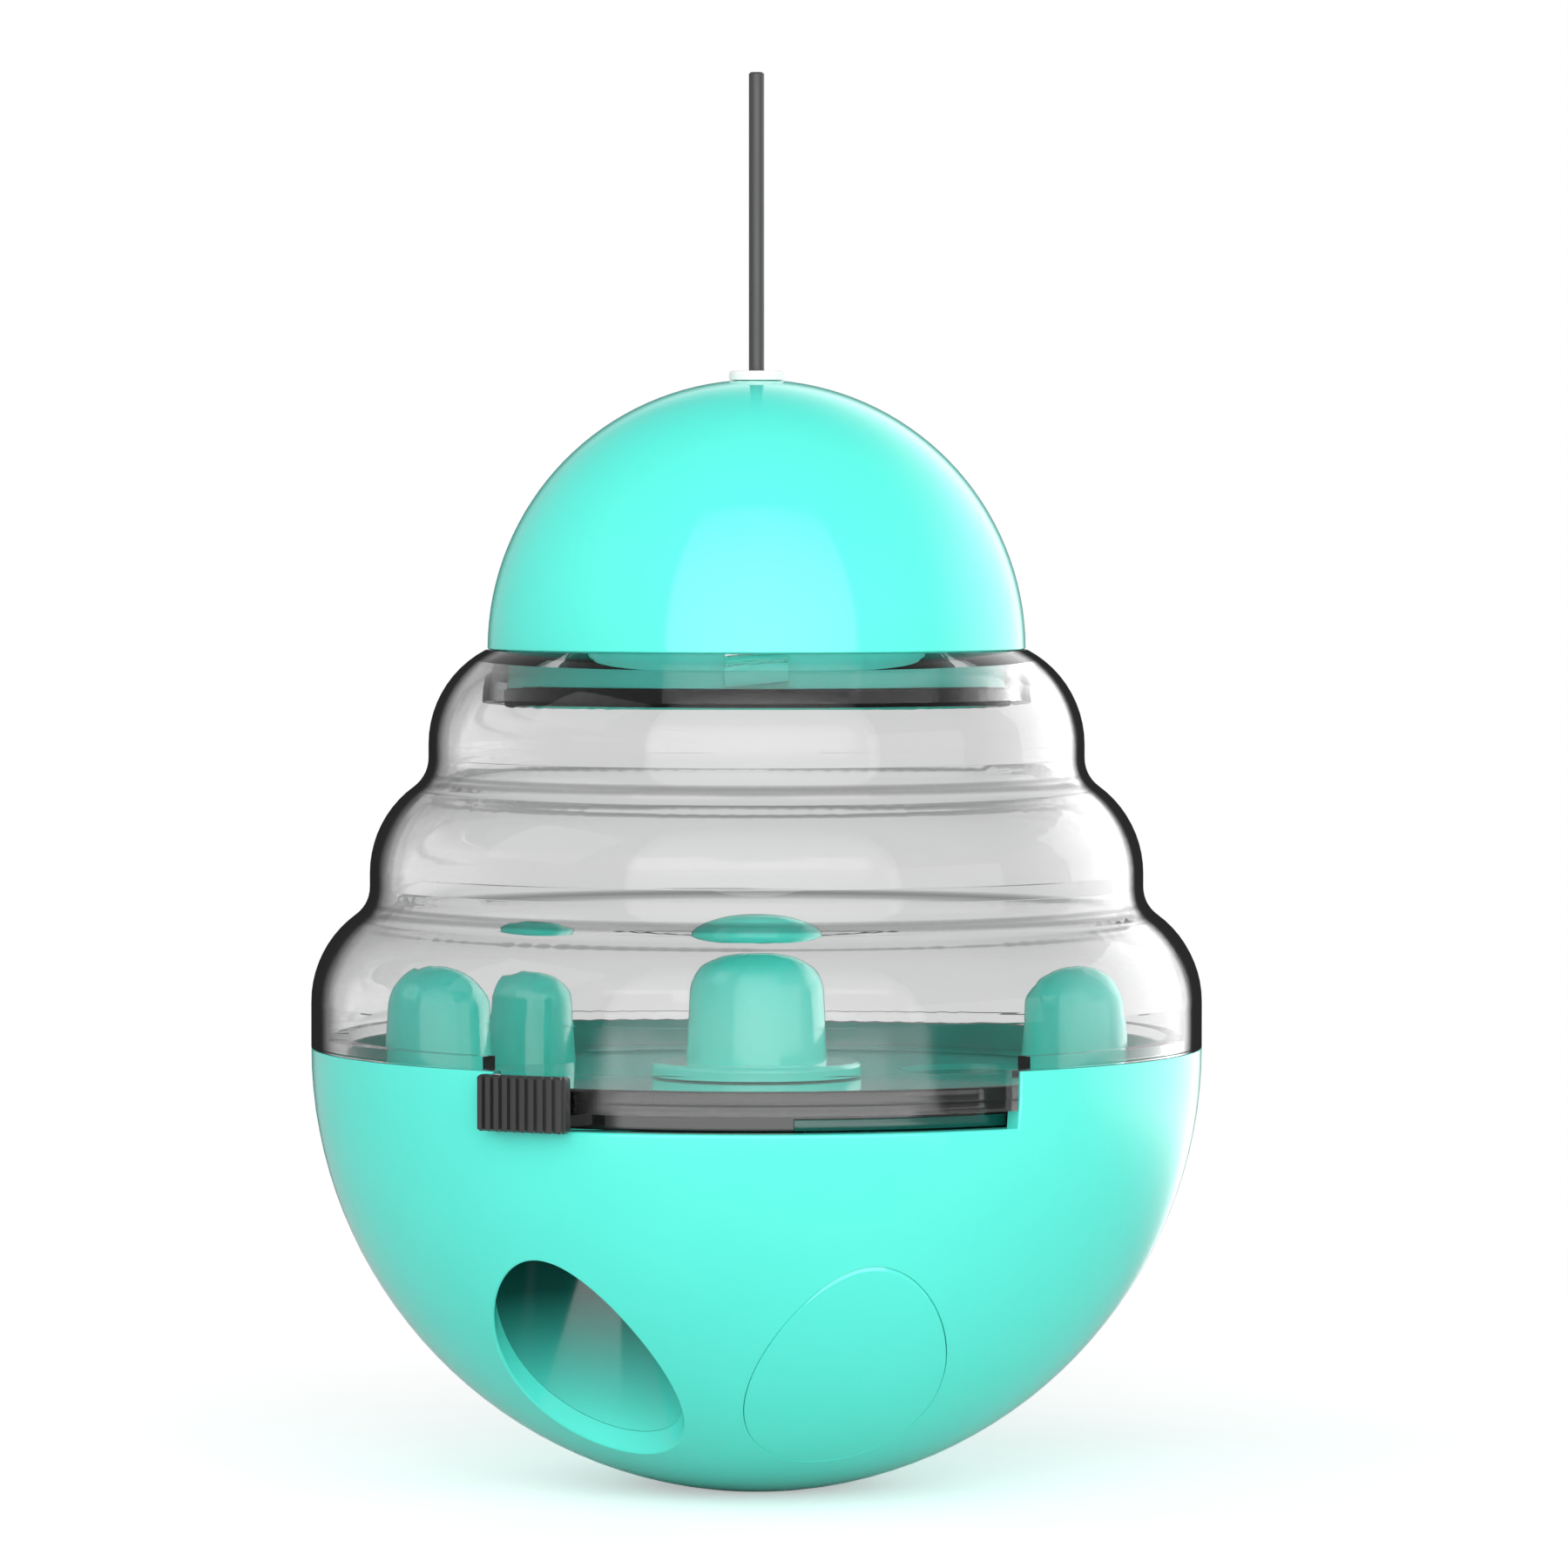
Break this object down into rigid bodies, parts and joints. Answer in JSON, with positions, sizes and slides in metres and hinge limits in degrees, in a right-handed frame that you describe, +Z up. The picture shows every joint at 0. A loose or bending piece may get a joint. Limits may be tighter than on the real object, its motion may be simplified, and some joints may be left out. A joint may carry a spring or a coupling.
{
  "type": "cat treat dispenser toy",
  "caption": "Round-bottomed weighted treat dispenser with a clear stepped body, a screw-on domed cap that holds a wand, and a sliding shutter over the treat outlet in its bowl.",
  "frame": {"origin": "on the floor, under the middle of the bowl's small flat foot", "axes": "+Z up along the wand, -Y towards the front with the window and the outlet, +X to the right seen from the front"},
  "size_m": [0.104, 0.104, 0.165],
  "materials": {
    "turquoise_abs": "polished turquoise ABS",
    "clear_plastic": "clear moulded plastic",
    "charcoal_abs": "smooth dark grey ABS",
    "black_rubber": "black silicone rubber",
    "white_rubber": "white rubber",
    "grey_coating": "grey coated spring wire",
    "screw_steel": "plain steel",
    "weight_iron": "plain iron"
  },
  "bodies": {
    "base": {"bowl": "turquoise_abs", "outlet_chute": "turquoise_abs", "outlet_plug": "turquoise_abs", "floor_plate": "turquoise_abs", "floor_screws": "screw_steel", "counterweight": "weight_iron", "weight_cover": "turquoise_abs", "weight_screws": "screw_steel", "hub_knob": "turquoise_abs", "hub_washer": "screw_steel", "hub_screw": "screw_steel"},
    "shutter": {"shutter_disc": "charcoal_abs", "stir_plate": "turquoise_abs", "shutter_grip": "charcoal_abs", "peg_left": "turquoise_abs", "peg_back": "turquoise_abs", "peg_right": "turquoise_abs"},
    "body": {"clear_body": "clear_plastic"},
    "seal": {"cap_seal": "black_rubber"},
    "cap": {"dome_shell": "turquoise_abs", "cap_collar": "turquoise_abs", "wand_grommet": "white_rubber"},
    "wand": {"wand_rod": "grey_coating"}
  },
  "joints": [
    {"name": "shutter_turn", "type": "hinge", "parent": "base", "child": "shutter", "pos_m": [0, 0, 0.0465], "axis": [0, 0, 1], "range_deg": [0, 58.4]},
    {"name": "body_lift", "type": "slide", "parent": "base", "child": "body", "axis": [0, 0, 1], "range_m": [0, 0.06]},
    {"name": "cap_rise", "type": "slide", "parent": "body", "child": "seal", "axis": [0, 0, 1], "range_m": [0, 0.018]},
    {"name": "cap_turn", "type": "hinge", "parent": "seal", "child": "cap", "pos_m": [0, 0, 0.0925], "axis": [0, 0, 1], "range_deg": [0, 360]},
    {"name": "wand_pull", "type": "slide", "parent": "cap", "child": "wand", "axis": [0, 0, 1], "range_m": [0, 0.02]}
  ],
  "couplings": [
    {"joint": "cap_turn", "follows": "cap_rise", "rad_per_m": 349.07}
  ]
}
